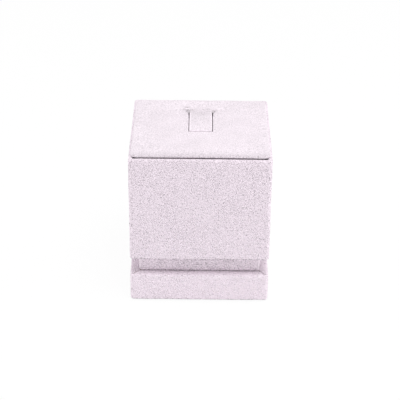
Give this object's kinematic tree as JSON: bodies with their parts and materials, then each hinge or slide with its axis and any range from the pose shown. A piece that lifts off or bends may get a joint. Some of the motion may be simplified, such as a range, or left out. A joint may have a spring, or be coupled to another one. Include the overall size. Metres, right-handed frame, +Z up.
{
  "type": "ring display box",
  "caption": "Fabric-covered ring display box on a recessed neck and plinth, with a lift-out padded insert whose hinged flap holds one ring.",
  "frame": {"origin": "centre of the underside, on the surface that the box stands on", "axes": "+Z up, front towards -Y where the free end of the ring flap points, +X to the right seen from the front"},
  "size_m": [0.052, 0.052, 0.0612],
  "materials": {
    "microfibre": "soft matt nap, pale pinkish grey",
    "board": "sawn fibreboard",
    "greyboard": "plain pressed greyboard",
    "foam": "open-cell foam",
    "liner": "thin felted sheet",
    "steel": "bright zinc"
  },
  "bodies": {
    "box": {"plinth_core": "board", "plinth_cover": "microfibre", "base_liner": "liner", "neck_core": "board", "neck_cover": "microfibre", "box_floor": "board", "box_front_wall": "greyboard", "box_rear_wall": "greyboard", "box_left_wall": "greyboard", "box_right_wall": "greyboard", "box_cover": "microfibre", "corner_post_front_left": "board", "corner_post_front_right": "board", "corner_post_rear_left": "board", "corner_post_rear_right": "board", "assembly_screws": "steel"},
    "insert": {"insert_board": "greyboard", "insert_foam": "foam", "insert_cover": "microfibre"},
    "flap": {"flap_board": "greyboard", "flap_cover": "microfibre"}
  },
  "joints": [
    {"name": "insert_lift", "type": "slide", "parent": "box", "child": "insert", "axis": [0, 0, 1], "range_m": [0, 0.025]},
    {"name": "flap_hinge", "type": "hinge", "parent": "insert", "child": "flap", "pos_m": [0, 0.0128, 0.0606], "axis": [-1, 0, 0], "range_deg": [-8, 45], "stiffness_Nm_per_rad": 0.002}
  ]
}
